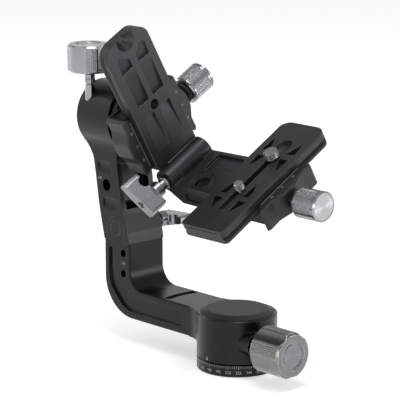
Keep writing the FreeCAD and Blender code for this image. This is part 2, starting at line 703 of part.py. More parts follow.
# Tilt bearing, shaft and rear cap
inner, outer, balls = bearing(vec(tilt_race_x, 0, tilt_z), X, Z)
save("tilt_bearing_inner", inner)
save("tilt_bearing_outer", outer)
save("tilt_bearing_balls", balls)
hub_back = plate1_x - jaw_drop - jaw_t - skirt_t
shaft = turned([(0, tilt_drum_x), (tilt_drum_r, tilt_drum_x), (tilt_drum_r, tilt_drum_x + tilt_drum_len),
                (race_bore_r, tilt_drum_x + tilt_drum_len), (race_bore_r, tilt_race_x + race_w),
                (race_bore_r, hub_x - 2.0), (0, hub_x - 2.0)], vec(0, 0, 0), X, Z)
shaft_cut = [rod(vec(tilt_drum_x, 0, 0), X, 3.1, 80), rod(vec(tilt_drum_x - 1, 0, 0), X, 5.6, 5.2)]
save_tilted("tilt_shaft", without(shaft, shaft_cut))
hub = turned([(0, hub_x - 2.0), (race_bore_r + race_t - 0.2, hub_x - 2.0),
              (race_bore_r + race_t - 0.2, hub_x),
              (hub_r - 1.0, hub_x), (hub_r, hub_x + 1.0), (hub_r, hub_back), (0, hub_back)],
             vec(0, 0, 0), X, Z)
spacer = tube(vec(tilt_race_x + race_w, 0, 0), X, race_bore_r + race_t - 0.2, race_bore_r,
              hub_x - 2.0 - tilt_race_x - race_w)
hub_cut = [rod(vec(hub_x - 3, 0, 0), X, 3.0, 10)]
hub_screws = []
for s in (-hub_screw_half, hub_screw_half):
    for t in (-hub_screw_half, hub_screw_half):
        start = vec(plate1_x + floor_h - 0.2, s, t)
        hub_cut.append(rod(start, X * -1, hub_screw_r, hub_screw_len))
        hub_screws.append(joined([rod(start, X * -1, hub_screw_head_r, hub_screw_head_h),
                                  rod(start, X * -1, hub_screw_r, hub_screw_len)]))
save_tilted("tilt_hub", without(hub, hub_cut))
save_tilted("tilt_spacer", spacer)
save_tilted("hub_screws", Part.makeCompound(hub_screws))
shaft_screw = joined([rod(vec(tilt_drum_x + 4.2, 0, 0), X * -1, 5.2, 3.6),
                      rod(vec(tilt_drum_x + 4.2, 0, 0), X, 3.0, hub_x + 3.5 - tilt_drum_x - 4.2)])
save_tilted("shaft_screw", shaft_screw)
save("tilt_cap", rod(vec(head_back_x, 0, tilt_z), X, tilt_cap_r - fit_running, tilt_cap_h))

# Clamp pieces in the clamp's own frame
jaw_in_s = dovetail_half_w - neck_inset + jaw_lip_gap
jaw_wall_s = dovetail_half_w + jaw_lip_gap
body_wall_s = jaw_wall_s - jaw_face_gap
jaw_low = -jaw_drop - jaw_t
lip_low = -slab_t - neck_t


def in_st(h):
    return lambda u, v: vec(u, v, h)


def in_sh(t):
    return lambda u, v: vec(u, t, v)


def jaw_outline(half, inset):
    bend = half * 0.54
    wall = jaw_wall_s - 1.0
    edge, bulge, end = jaw_edge_s - inset, jaw_bulge_s - inset, half - inset
    inner = jaw_inner_half - inset * 0.5
    return [(wall, -inner, 0), (jaw_wall_s, -inner, 0), (edge - 1.2, -end, 0.8), (edge, -end * 0.9, 2.0),
            (edge - 0.2, -bend, 6.0), (bulge, -5.0, 5.0), (bulge, 5.0, 5.0), (edge - 0.2, bend, 6.0),
            (edge, end * 0.9, 2.0), (edge - 1.2, end, 0.8), (jaw_wall_s, inner, 0), (wall, inner, 0)]


def jaw_block(half):
    top, knee = -jaw_drop, -jaw_drop - jaw_top_chamfer
    bevel = Part.makeLoft([outline(jaw_outline(half, 0.0), in_st(knee)),
                           outline(jaw_outline(half, jaw_top_chamfer), in_st(top))], True, True)
    wall = prism(jaw_outline(half, 0.0), in_st(jaw_low), Z * (knee - jaw_low))
    rise = jaw_wall_s - jaw_in_s
    lip = prism(sharp([(jaw_wall_s + 1, top), (jaw_in_s, top), (jaw_in_s, lip_low),
                       (jaw_wall_s, lip_low - rise), (jaw_wall_s + 1, lip_low - rise)]),
                in_sh(-jaw_inner_half + 0.6), Y * (2 * jaw_inner_half - 1.2))
    under = block(0, jaw_wall_s, -40, 40, jaw_low - 1, lip_low - rise)
    recess = block(0, jaw_wall_s, -40, 40, jaw_low - 1, 0)
    return joined([joined([bevel, wall]).cut(recess), lip.cut(under)])


def mirrored(shape):
    return shape.mirror(vec(0, 0, 0), X)


def moving_jaw(half):
    axis = vec(0, 0, -clamp_screw_drop)
    cutters = [rod(axis, X, clamp_screw_r + fit_running, 60)]
    for t in (-guide_pin_t, guide_pin_t):
        cutters.append(rod(axis + Y * t, X, guide_pin_r, guide_pin_end + 0.1))
    return without(jaw_block(half), cutters)


def body_holes():
    axis = vec(0, 0, -clamp_screw_drop)
    cutters = [rod(axis + X * clamp_screw_end_s, X, clamp_screw_r + fit_running, 60)]
    for t in (-guide_pin_t, guide_pin_t):
        start = axis + Y * t + X * (guide_pin_end - guide_pin_len - 0.4)
        cutters.append(rod(start, X, guide_pin_r + fit_slide, 40))
    return cutters


def guide_pins():
    axis = vec(guide_pin_end - guide_pin_len, 0, -clamp_screw_drop)
    return Part.makeCompound([rod(axis + Y * t, X, guide_pin_r, guide_pin_len)
                              for t in (-guide_pin_t, guide_pin_t)])


def clamp_screw():
    start = vec(clamp_screw_end_s + 0.5, 0, -clamp_screw_drop)
    thread = rod(start, X, clamp_screw_r, knob_face_s - 3.2 - start.x)
    ring = rod(vec(jaw_bulge_s + 0.05, 0, -clamp_screw_drop), X, 4.6, 1.4)
    sleeve = rod(vec(jaw_bulge_s + 0.05, 0, -clamp_screw_drop), X, 3.8, knob_back_s - jaw_bulge_s - 0.05)
    return joined([thread, ring, sleeve])


def clamp_collar():
    return tube(vec(knob_back_s - collar_len, 0, -clamp_screw_drop), X, collar_r, 3.8, collar_len)


knob_back_s = knob_face_s - knob_len
knob_frame = FreeCAD.Placement(vec(knob_face_s, 0, -clamp_screw_drop), FreeCAD.Rotation(Z, X))


def save_clamp(frame, half, number):
    save("clamp_jaw_" + number, moved(moving_jaw(half), frame))
    save("guide_pins_" + number, moved(guide_pins(), frame))
    save("clamp_screw_" + number, moved(clamp_screw(), frame))
    save("knob_collar_" + number, moved(clamp_collar(), frame))
    save("clamp_knob_" + number, moved(clamp_knob(), frame.multiply(knob_frame)))
    save("clamp_knob_disc_" + number, moved(knob_disc(), frame.multiply(knob_frame)))


# Tilting clamp body
fixed_jaw = mirrored(jaw_block(tilt_jaw_half))
body_floor = block(-jaw_wall_s - 1, body_wall_s, -jaw_inner_half + 0.2, jaw_inner_half - 0.2, jaw_low,
                   floor_h)


def skirt_outline(inset):
    half = tilt_jaw_half - inset
    return [(-jaw_edge_s + inset, -half, 3.0), (body_wall_s - inset, -jaw_inner_half + inset, 3.0),
            (body_wall_s - inset, jaw_inner_half - inset, 3.0), (-jaw_edge_s + inset, half, 3.0)]


skirt = Part.makeLoft([outline(skirt_outline(0.6), in_st(jaw_low)),
                       outline(skirt_outline(skirt_inset), in_st(jaw_low - skirt_t))], True, True)
clamp_body = joined([fixed_jaw, body_floor, skirt])
clamp_cut = body_holes()
for s in (-hub_screw_half, hub_screw_half):
    for t in (-hub_screw_half, hub_screw_half):
        spot = vec(s, t - clamp1_n, floor_h - 0.2)
        clamp_cut.append(rod(spot, Z * -1, hub_screw_r + 0.1, 30))
        clamp_cut.append(rod(spot + Z * 2, Z * -1, hub_screw_head_r + 0.1, hub_screw_head_h + 2))
save("tilt_clamp_body", moved(without(clamp_body, clamp_cut), clamp1_frame))
save_clamp(clamp1_frame, tilt_jaw_half, "1")


# Dovetail plate profile, cut to an outline in its own frame
def dovetail(low, high):
    half = dovetail_half_w
    neck = half - neck_inset
    side = [(half, -0.5), (half - 0.5, 0), (-half + 0.5, 0), (-half, -0.5), (-half, -slab_t),
            (-neck, -slab_t),
            (-neck, -slab_t - neck_t), (-half, -slab_t - neck_t - neck_inset), (-half, -plate_t),
            (half, -plate_t), (half, -slab_t - neck_t - neck_inset), (neck, -slab_t - neck_t),
            (neck, -slab_t), (half, -slab_t)]
    return prism(sharp(side), in_sh(low), Y * (high - low))


# Wedge that deepens towards one end, cut from a plate's top face
def sloped_pocket(points, t_deep, t_shallow, depth):
    column = prism(points, in_st(-depth - 1), Z * (depth + 3))
    wedge = prism(sharp([(t_deep, -depth), (t_shallow, 0.02), (t_shallow, 3), (t_deep, 3)]),
                  lambda u, v: vec(-40, u, v), X * 80)
    return column.common(wedge)


# Upper plate with the middle knuckle of the hinge
half = dovetail_half_w
plate1 = dovetail(plate1_low, plate1_top)
rounding = prism([(-half, plate1_low, 2.0), (half, plate1_low, 2.0), (half, plate1_top, plate1_corner_r),
                  (-half, plate1_top, plate1_corner_r)], in_st(-plate_t - 1), Z * (plate_t + 2))
plate1 = plate1.common(rounding)
knuckle_h = hinge_x - plate1_x
knuckle = rod(vec(-hinge_mid_half, hinge_n, knuckle_h), X, hinge_r, 2 * hinge_mid_half)
neck_web = prism(sharp([(hinge_n - 3.5, knuckle_h - 5.0), (hinge_n + 2.0, knuckle_h + 5.5),
                        (plate1_low + 1.0, -0.4), (plate1_low + 1.0, -plate_t),
                        (plate1_low - 1.5, -plate_t)]),
                 lambda u, v: vec(-hinge_mid_half, u, v), X * (2 * hinge_mid_half))
plate1 = joined([plate1, knuckle, neck_web])
depth = plate1_pocket_depth
plate1_cut = [rod(vec(-30, hinge_n, knuckle_h), X, hinge_bolt_r + fit_running, 60),
              rod(vec(0, plate1_hole_t, 1), Z * -1, plate1_hole_r, plate_t + 2)]
for side in (-1, 1):
    end_gap = block(side * hinge_mid_half if side > 0 else -40, 40 if side > 0 else side * hinge_mid_half,
                    -60, plate1_low - 0.01, -30, 30)
    plate1_cut.append(end_gap)
    plate1_cut.append(rod(vec(side * (hinge_mid_half + 0.01), hinge_n, knuckle_h), X * side,
                          hinge_r + 0.35, 12))
    long_pocket = [(side * 2.0, 22.0, 0.8), (side * 12.6, 22.0, 0.8), (side * 12.6, 44.0, 1.5),
                   (side * 9.0, 47.0, 1.5), (side * 2.0, 45.0, 0.8)]
    plate1_cut.append(sloped_pocket(long_pocket, 21.0, 46.5, depth))
    low_pocket = [(side * 2.6, 12.2, 0.8), (side * 12.2, 12.2, 0.8), (side * 12.6, -15.0, 0.8),
                  (side * 2.6, -15.0, 0.8)]
    plate1_cut.append(sloped_pocket(low_pocket, 13.0, -14.5, depth))
    top_pocket = [(side * 2.8, 48.0, 0.8), (side * 12.9, 47.4, 0.8), (side * 13.2, 56.0, 1.2),
                  (side * 10.4, 59.4, 1.2), (side * 2.9, 53.6, 1.2)]
    plate1_cut.append(sloped_pocket(top_pocket, 47.0, 62.5, depth * 0.8))
    for t in (29.2, 45.2):
        plate1_cut.append(rod(vec(side * 17.2, t, -0.5), Z, 0.55, 2))
plate1_cut.append(cone(vec(0, plate1_top - scallop_in, 0), Z * -1, scallop_r, scallop_floor_r,
                       scallop_depth))
stop_t = plate1_top - stop_end
plate1_cut.append(rod(vec(-stop1_s, stop_t, -plate_t), Z, stop_screw_r, 6.0))
rail_stop = joined([rod(vec(-stop1_s, stop_t, -plate_t - stop1_head_h), Z, stop_screw_head_r, stop1_head_h),
                    rod(vec(-stop1_s, stop_t, -plate_t - stop1_head_h), Z, stop_screw_r, 6.6)])
save("upper_plate", moved(without(plate1, plate1_cut), plate1_frame))
save("upper_plate_stop", moved(rail_stop, plate1_frame))

# Platform with the outer knuckles of the hinge and the second clamp's fixed side
pn = platform_n - plate2_n
body_end = body_wall_s
deck = prism([(platform_x, -platform_end_half, 0), (body_end, -platform_end_half - 1.5, 0),
              (body_end, platform_end_half + 1.5, 0), (platform_x, platform_end_half, 0)],
             in_st(jaw_low), Z * (pn - jaw_low))
fixed_lip = mirrored(jaw_block(lens_jaw_half)).common(block(-jaw_wall_s - 3.0, 0, -60, 60, jaw_low, 0))
knuckles = []
knuckle_c = vec(hinge_x, 0, hinge_n - plate2_n)
for w0, w1 in ((-hinge_half, -hinge_mid_half - hinge_gap), (hinge_mid_half + hinge_gap, hinge_half)):
    knuckles.append(rod(vec(hinge_x, w0, knuckle_c.z), Y, hinge_r, w1 - w0))
    knuckles.append(prism(sharp([(hinge_x - 1.0, knuckle_c.z - hinge_r + 0.05), (hinge_x, knuckle_c.z),
                                 (platform_x + 2, pn), (platform_x + 2, jaw_low + 1.0),
                                 (platform_x, jaw_low)]),
                          in_sh(w0), Y * (w1 - w0)))
seat_cut = block(-jaw_wall_s, 60, -60, 60, floor_h, 10)
platform = joined([deck.cut(seat_cut), fixed_lip] + knuckles)
mid_clear = joined([rod(vec(hinge_x, -hinge_mid_half - hinge_gap, knuckle_c.z), Y, hinge_r + 0.4,
                        2 * (hinge_mid_half + hinge_gap))])
platform_cut = body_holes() + [mid_clear, rod(vec(hinge_x, -60, knuckle_c.z), Y,
                                              hinge_bolt_r + fit_running, 120),
                               rod(vec(hinge_x, hinge_half - hinge_nut_t, knuckle_c.z), Y,
                                   hinge_nut_r + fit_running, 10)]
platform_cut.append(prism([(-49.0, 16.2, 1.0), (-24.5, 16.2, 0), (-24.5, 1.5, 1.0), (-31.5, 1.5, 1.0),
                           (-39.0, 5.5, 2.0), (-46.5, -1.0, 1.0), (-49.0, 2.6, 1.0)],
                          in_st(pn - 1.8), Z * 4))
platform_cut.append(rod(vec(-39.8, -11.2, pn - 4.0), Z, 5.6, 6))
platform_cut.append(tube(vec(-39.8, -11.2, pn - 0.8), Z, 9.4, 8.0,
                         3).common(block(-60, -24.5, -18.0, 0.5, -10, 10)))
for side in (-1, 1):
    flank = prism([(-54.0, pn - 12.0, 1.5), (-24.0, pn - 12.0, 1.5), (-26.0, pn - 4.2, 1.5),
                   (-50.0, pn - 4.2, 1.5)],
                  in_sh(side * (platform_end_half - 1.5)), Y * (side * 6))
    platform_cut.append(flank)
save("platform", moved(without(platform, platform_cut), clamp2_frame))
save_clamp(clamp2_frame, lens_jaw_half, "2")

# Hinge bolt, its nut and the wing lever that tightens it
head_w = hinge_half - hinge_nut_t + 0.1
hinge_bolt = joined([rod(vec(hinge_x, -hinge_half + 0.4, hinge_n), Y, hinge_bolt_r,
                         head_w + hinge_half - 0.3),
                     rod(vec(hinge_x, head_w, hinge_n), Y, hinge_nut_r, hinge_nut_t - 0.4)])
save_tilted("hinge_bolt", hinge_bolt.cut(rod(vec(hinge_x, -40, hinge_n), Y, 1.6, 42)))
lever1_stem = -hinge_half - lever_gap - (lever1_end_w + lever_width)
lever1_place = FreeCAD.Placement(vec(hinge_x, lever1_end_w + lever_width, hinge_n),
                                 FreeCAD.Rotation(X, Z, Y * -1, "ZXY"))
lever1_frame = lever1_place.multiply(FreeCAD.Placement(vec(0, 0, 0), FreeCAD.Rotation(Z, lever1_deg)))
save_tilted("hinge_lever", moved(wing_lever(lever1_stem), lever1_frame))
save_tilted("hinge_lever_screw", moved(lever_screw(lever1_stem + 16.0), lever1_frame.multiply(screw_place)))

# Lens plate
plate2 = dovetail(-plate2_half_len, plate2_half_len)
rounding = prism([(-half, -plate2_half_len, 3.0), (half, -plate2_half_len, 3.0),
                  (half, plate2_half_len, plate2_corner_r), (-half, plate2_half_len, plate2_corner_r)],
                 in_st(-plate_t - 1), Z * (plate_t + 2))
plate2 = plate2.common(rounding)
slot = prism([(-slot_half_w, slot_near, slot_half_w - 0.01), (slot_half_w, slot_near, slot_half_w - 0.01),
              (slot_half_w, slot_far, 0), (-slot_half_w, slot_far, 0)], in_st(-plate_t - 1),
             Z * (plate_t + 2))
under_slot = prism([(-under_slot_half_w, slot_near - 5, 6.0), (under_slot_half_w, slot_near - 5, 6.0),
                    (under_slot_half_w, slot_far + 8, 6.0), (-under_slot_half_w, slot_far + 8, 6.0)],
                   in_st(-plate_t - 1), Z * (under_slot_t + 1))
plate2_cut = [slot, under_slot, rod(vec(0, slot_far, -plate_t), Z, slot_hole_r, plate_t + 1)]
near_low = [(7.4, -36.0, 0.4), (14.4, -23.4, 0.4), (6.8, -23.4, 0.4)]
near_high = [(6.8, -19.7, 0.4), (13.4, -19.7, 0.4), (12.3, -15.1, 0.4), (7.9, -6.4, 0.4)]
far_low = [(12.0, 6.8, 0.4), (13.4, 19.1, 0.4), (6.0, 19.1, 0.4)]
far_high = [(7.0, 23.6, 0.4), (14.5, 24.4, 0.4), (12.7, 36.6, 0.4)]
for side in (-1, 1):
    for points in (near_low, near_high, far_low, far_high):
        plate2_cut.append(prism([(side * u, v, r) for u, v, r in points], in_st(-3.4), Z * 5))
plate2_cut.append(block(-13.0, 13.0, -plate2_half_len - 1, -plate2_half_len + 0.5, -2.6, -1.6))
plate2_cut.append(rod(vec(-9.0, -plate2_half_len + 5, -plate_t), Z, stop_screw_r, 6.0))
save("lens_plate", moved(without(plate2, plate2_cut), clamp2_frame))
safety = joined([rod(vec(-9.0, -plate2_half_len + 5, -plate_t - 1.8), Z, stop_screw_head_r, 1.8),
                 rod(vec(-9.0, -plate2_half_len + 5, -plate_t - 1.8), Z, stop_screw_r, 7.0)])
save("lens_plate_stop", moved(safety, clamp2_frame))


# Captive camera screw: head in the plate's lower slot, neck in its narrow slot
def camera_screw(radius, t):
    shoulder = -plate_t + under_slot_t
    body = joined([rod(vec(0, t, shoulder - 0.1 - screw_head_t), Z, screw_head_r - 0.2, screw_head_t),
                   rod(vec(0, t, shoulder - 1.0), Z, screw_neck_r, 1.4 - shoulder),
                   rod(vec(0, t, 0.15), Z, radius, screw_proud - 0.15)])
    tip = [e for e in body.Edges if e.isClosed() and len(e.Vertexes) == 1
           and abs(e.Vertexes[0].Z - screw_proud) < 0.01]
    body = body.makeChamfer(0.6, tip)
    slit = block(-screw_head_r, screw_head_r, t - 0.7, t + 0.7, shoulder - screw_head_t - 1,
                 shoulder - screw_head_t + 1.1)
    return body.cut(slit)


save("quarter_screw", moved(camera_screw(quarter_r, quarter_screw_w), clamp2_frame))
save("three_eighth_screw", moved(camera_screw(three_eighth_r, big_screw_w), clamp2_frame))
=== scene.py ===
import bpy
import bmesh
import json
import math
from mathutils import Matrix, Vector


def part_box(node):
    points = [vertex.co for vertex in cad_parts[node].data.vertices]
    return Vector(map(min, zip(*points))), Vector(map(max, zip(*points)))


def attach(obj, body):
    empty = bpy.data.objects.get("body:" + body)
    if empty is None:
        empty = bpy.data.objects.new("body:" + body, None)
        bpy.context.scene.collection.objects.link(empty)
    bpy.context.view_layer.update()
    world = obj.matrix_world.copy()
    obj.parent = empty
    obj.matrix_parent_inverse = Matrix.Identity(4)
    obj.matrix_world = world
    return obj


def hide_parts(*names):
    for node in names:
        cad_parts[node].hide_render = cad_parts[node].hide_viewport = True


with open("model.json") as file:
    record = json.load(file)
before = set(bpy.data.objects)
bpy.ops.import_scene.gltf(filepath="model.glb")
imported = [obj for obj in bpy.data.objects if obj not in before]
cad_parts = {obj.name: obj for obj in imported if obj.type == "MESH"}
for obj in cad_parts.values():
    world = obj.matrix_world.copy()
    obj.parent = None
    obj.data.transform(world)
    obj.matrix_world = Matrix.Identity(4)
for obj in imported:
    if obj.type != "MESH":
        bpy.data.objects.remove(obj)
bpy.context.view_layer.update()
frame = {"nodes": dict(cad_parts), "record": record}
nodes = frame["nodes"]
scene = bpy.context.scene
mm = 0.001
print("frame loaded,", len(nodes), "nodes")

# camera, set for a square picture
cameraSet = {"lens": 197.55, "sensor": 36, "farClip": 200, "place": (0.9522, -0.9359, 0.4151),
             "azimuth": 46.5, "elevation": 12.96}
cameraData = bpy.data.cameras.new("camera")
cameraData.lens = cameraSet["lens"]
cameraData.sensor_width = cameraSet["sensor"]
cameraData.clip_end = cameraSet["farClip"]
camera = bpy.data.objects.new("camera", cameraData)
scene.collection.objects.link(camera)
camera.location = cameraSet["place"]
camera.rotation_euler = (math.radians(90 - cameraSet["elevation"]), 0, math.radians(cameraSet["azimuth"]))
scene.camera = camera
scene.view_settings.view_transform = "Standard"

# frames of the swinging pieces, from the part's millimetres
swing = {"tiltZ": 146.8, "tiltDeg": 29.6, "railX": -67.8, "clampShift": -2.4, "lensN": -29.3}
tiltFrame = (Matrix.Translation((0, 0, swing["tiltZ"] * mm))
             @ Matrix.Rotation(math.radians(swing["tiltDeg"]), 4, "X"))
# the rail's own axes run across it, along it and out of it
railAxes = Matrix(((0, 0, 1, 0), (1, 0, 0, 0), (0, 1, 0, 0), (0, 0, 0, 1)))
railFrame = tiltFrame @ Matrix.Translation((swing["railX"] * mm, 0, 0)) @ railAxes
clampFrames = {"1": railFrame @ Matrix.Translation((0, swing["clampShift"] * mm, 0)),
               "2": tiltFrame @ Matrix.Translation((0, 0, swing["lensN"] * mm))}


# sRGB hex to linear colour
def hexColour(text):
    parts = [int(text[i:i + 2], 16) / 255 for i in (1, 3, 5)]
    return [c / 12.92 if c <= 0.04045 else ((c + 0.055) / 1.055) ** 2.4 for c in parts] + [1]


def addNode(tree, kind, settings=None, links=None):
    node = tree.nodes.new("ShaderNode" + kind)
    for key, value in (settings or {}).items():
        if isinstance(key, int) or key in node.inputs:
            node.inputs[key].default_value = value
        else:
            setattr(node, key, value)
    for key, source in (links or {}).items():
        tree.links.new(source, node.inputs[key])
    return node


# the paler edge colour, partly wear and partly painted highlight, starts where an edge turns the surface a
# little and is full where it turns it more
finishSet = {"wearAndHighlightFrom": 0.99, "wearAndHighlightFull": 0.8, "grainLow": 0.3, "grainHigh": 0.7, "bumpMm": 0.1,
             "edgeSamples": 4}


# Each finish: a base colour with slow tone changes, a fine grain in bump and roughness, and paler edges,
# partly wear and partly painted highlight.
# Of a Mix node's sockets 0 is the factor, and 6 and 7 are its two colours
def partFinish(name, look):
    material = bpy.data.materials.new(name)
    material.use_nodes = True
    tree = material.node_tree
    tree.nodes.clear()
    coords = addNode(tree, "TexCoord")
    local = addNode(tree, "Mapping", {
        "vector_type": "TEXTURE", "Location": look.get("centre", (0, 0, 0)),
        "Rotation": look.get("turn", (0, 0, 0)), "Scale": look.get("stretch", (1, 1, 1))},
        {"Vector": coords.outputs["Object"]})
    tone = addNode(tree, "TexNoise", {"Scale": 1 / (look["toneMm"] * mm), "Detail": 3.0},
                   {"Vector": coords.outputs["Object"]})
    grain = addNode(tree, "TexNoise", {"Scale": 1 / (look["grainMm"] * mm), "Detail": 2.0},
                    {"Vector": local.outputs["Vector"]})
    colour = addNode(tree, "Mix", {
        "data_type": "RGBA", 6: hexColour(look["dark"]), 7: hexColour(look["pale"])},
        {0: tone.outputs["Fac"]})
    corner = addNode(tree, "Bevel", {"samples": finishSet["edgeSamples"], "Radius": look["edgeMm"] * mm})
    facing = addNode(tree, "NewGeometry")
    match = addNode(tree, "VectorMath", {"operation": "DOT_PRODUCT"},
                    {0: corner.outputs["Normal"], 1: facing.outputs["Normal"]})
    wearAndHighlight = addNode(tree, "MapRange", {
        "From Min": finishSet["wearAndHighlightFrom"], "From Max": finishSet["wearAndHighlightFull"],
        "To Min": 0.0, "To Max": look["wearAndHighlight"]},
        {"Value": match.outputs["Value"]})
    # paler edge colour mixed in where the surface turns: partly wear, partly a painted highlight along the
    # edges
    wornAndHighlit = addNode(tree, "Mix", {"data_type": "RGBA", 7: hexColour(look["edge"])},
                   {0: wearAndHighlight.outputs["Result"], 6: colour.outputs[2]})
    rough = addNode(tree, "MapRange", {
        "From Min": finishSet["grainLow"], "From Max": finishSet["grainHigh"],
        "To Min": look["rough"][0], "To Max": look["rough"][1]},
        {"Value": grain.outputs["Fac"]})
    bump = addNode(tree, "Bump", {"Strength": look["bump"], "Distance": finishSet["bumpMm"] * mm},
                   {"Height": grain.outputs["Fac"], "Normal": corner.outputs["Normal"]})
    shader = addNode(tree, "BsdfPrincipled", {"Metallic": look["metal"]},
                     {"Base Color": wornAndHighlit.outputs[2], "Roughness": rough.outputs["Result"],
                      "Normal": bump.outputs["Normal"]})
    if "coat" in look:  # clear oxide over the dyed metal
        shader.inputs["Coat Weight"].default_value = look["coat"]
        shader.inputs["Coat Roughness"].default_value = look["coatRough"]
    if "spun" in look:  # turned faces catch light in two opposite fans
        shader.inputs["Anisotropic"].default_value = look["spun"]
        arm = addNode(tree, "VectorMath", {"operation": "SUBTRACT", 1: look["centre"]},
                      {0: coords.outputs["Object"]})
        around = addNode(tree, "VectorMath", {"operation": "CROSS_PRODUCT", 0: look["axis"]},
                         {1: arm.outputs["Vector"]})
        toWorld = addNode(tree, "VectorTransform", {
            "vector_type": "VECTOR", "convert_from": "OBJECT", "convert_to": "WORLD"},
            {"Vector": around.outputs["Vector"]})
        tree.links.new(toWorld.outputs["Vector"], shader.inputs["Tangent"])
    addNode(tree, "OutputMaterial", links={"Surface": shader.outputs["BSDF"]})
    return material


# clamp knobs: six knurled panels, measured from the knob's outer face along its axis; clear lifts the knurl
# off the knob, and spare is how far its grid overreaches the panel before it is trimmed
knobSet = {"face": 54.0, "drop": 14.2, "radius": 9.8, "panels": 6, "recess": 0.35, "panelLow": -17.0,
           "panelHigh": -3.4, "share": 0.36, "pitch": 1.6, "height": 0.33, "clear": 0.01, "spare": 1.3}
knobFrames = {key: place @ Matrix.Translation((knobSet["face"] * mm, 0, -knobSet["drop"] * mm))
              @ Matrix.Rotation(math.radians(90), 4, "Y") for key, place in clampFrames.items()}

# blasting and turning leave marks of about 0.1 mm, too fine to show here, so grainMm is drawn coarser

# hard black anodising over blasted aluminium: near black, satin, soft highlights
satinBlack = partFinish("satinBlackAnodisedAluminium", {
    "dark": "#0e0f10", "pale": "#17181a", "edge": "#6c6e71", "wearAndHighlight": 0.7, "toneMm": 14, "grainMm": 0.35,
    "edgeMm": 0.35, "rough": (0.3, 0.4), "bump": 0.1, "metal": 0.8, "coat": 0.25, "coatRough": 0.28})
# the plates' coating is a shade paler and duller, from finer blasting; its pale edges are a painted
# highlight along the plate edges, with a little wear
plateBlack = partFinish("blastedBlackAnodisedAluminium", {
    "dark": "#28292a", "pale": "#323335", "edge": "#8e9093", "wearAndHighlight": 0.6, "toneMm": 10, "grainMm": 0.3,
    "edgeMm": 0.35, "rough": (0.34, 0.46), "bump": 0.16, "metal": 0.45})
# moulded cap, matt and dead black, no metal in it
capBlack = partFinish("mouldedBlackNylon", {
    "dark": "#1b1c1d", "pale": "#262728", "edge": "#4a4b4c", "wearAndHighlight": 0.3, "toneMm": 9, "grainMm": 0.25,
    "edgeMm": 0.3, "rough": (0.42, 0.55), "bump": 0.2, "metal": 0.0})
# warm grey anodising of the pan knob, the lathe lines run round it; its pale chamfer edges are a painted
# highlight
titanium = partFinish("titaniumGreyAnodisedAluminium", {
    "dark": "#757474", "pale": "#878686", "edge": "#d8d8d8", "wearAndHighlight": 0.8, "toneMm": 8, "grainMm": 0.25,
    "edgeMm": 0.7, "rough": (0.24, 0.36), "bump": 0.12, "metal": 1.0, "stretch": (1, 40, 40)})
# bright turned aluminium of the tilt knob, the lathe lines run round it
brightTurned = partFinish("turnedBrightAluminium", {
    "dark": "#949698", "pale": "#a8aaac", "edge": "#f4f4f4", "wearAndHighlight": 0.8, "toneMm": 9, "grainMm": 0.25,
    "edgeMm": 0.3, "rough": (0.16, 0.3), "bump": 0.12, "metal": 1.0, "stretch": (40, 40, 1)})
# bead-blasted silver of the wing levers, even and soft
blastedSilver = partFinish("beadBlastedAluminium", {
    "dark": "#7d7e80", "pale": "#929395", "edge": "#e4e4e4", "wearAndHighlight": 0.6, "toneMm": 6, "grainMm": 0.3,
    "edgeMm": 0.6, "rough": (0.22, 0.34), "bump": 0.25, "metal": 1.0})
# polished chrome steel of the knob stems, almost a mirror
chromeSteel = partFinish("polishedChromeSteel", {
    "dark": "#909294", "pale": "#a2a4a6", "edge": "#f0f0f0", "wearAndHighlight": 0.3, "toneMm": 7, "grainMm": 0.5,
    "edgeMm": 0.2, "rough": (0.08, 0.16), "bump": 0.03, "metal": 1.0})
# plain turned steel of screws and pins
screwSteel = partFinish("turnedStainlessSteel", {
    "dark": "#8a8c8d", "pale": "#a0a2a3", "edge": "#dcdcdc", "wearAndHighlight": 0.4, "toneMm": 4, "grainMm": 0.2,
    "edgeMm": 0.12, "rough": (0.2, 0.34), "bump": 0.1, "metal": 1.0})
# ground bearing steel, smoother and paler than the screws
bearingSteel = partFinish("groundBearingSteel", {
    "dark": "#b4b6b8", "pale": "#c6c8ca", "edge": "#e4e4e4", "wearAndHighlight": 0.2, "toneMm": 8, "grainMm": 0.25,
    "edgeMm": 0.15, "rough": (0.14, 0.24), "bump": 0.05, "metal": 1.0})
# machined brass of the two cotters, yellow, with a soft cut
cotterBrass = partFinish("machinedBrass", {
    "dark": "#b08d46", "pale": "#c4a058", "edge": "#e0c588", "wearAndHighlight": 0.3, "toneMm": 5, "grainMm": 0.2,
    "edgeMm": 0.15, "rough": (0.22, 0.36), "bump": 0.1, "metal": 1.0})
# moulded rubber: matt, faintly pebbled, no bright edge
rubber = partFinish("mouldedBlackRubber", {
    "dark": "#121212", "pale": "#1c1c1c", "edge": "#262626", "wearAndHighlight": 0.3, "toneMm": 6, "grainMm": 0.4,
    "edgeMm": 0.3, "rough": (0.6, 0.78), "bump": 0.4, "metal": 0.0})
# laser marking: the coating is burnt off and leaves pale, dull, slightly speckled metal
laserMark = partFinish("laserMarkedAluminium", {
    "dark": "#9c9d9e", "pale": "#bcbcbc", "edge": "#bcbcbc", "wearAndHighlight": 0.0, "toneMm": 0.6, "grainMm": 0.12,
    "edgeMm": 0.02, "rough": (0.5, 0.65), "bump": 0.05, "metal": 0.2})

slotFinish = {"black_anodised": satinBlack, "black_anodised_plate": plateBlack, "black_cap": capBlack,
              "titanium_grey": titanium, "silver_knob": brightTurned, "knurled_silver": brightTurned,
              "blasted_silver": blastedSilver, "bright_steel": chromeSteel, "screw_steel": screwSteel,
              "bearing_steel": bearingSteel, "brass_cotter": cotterBrass, "black_rubber": rubber}
for entry in frame["record"]["subparts"]:
    mesh = nodes[entry["node"]].data
    mesh.materials.clear()
    mesh.materials.append(slotFinish[entry["material_slot"]])

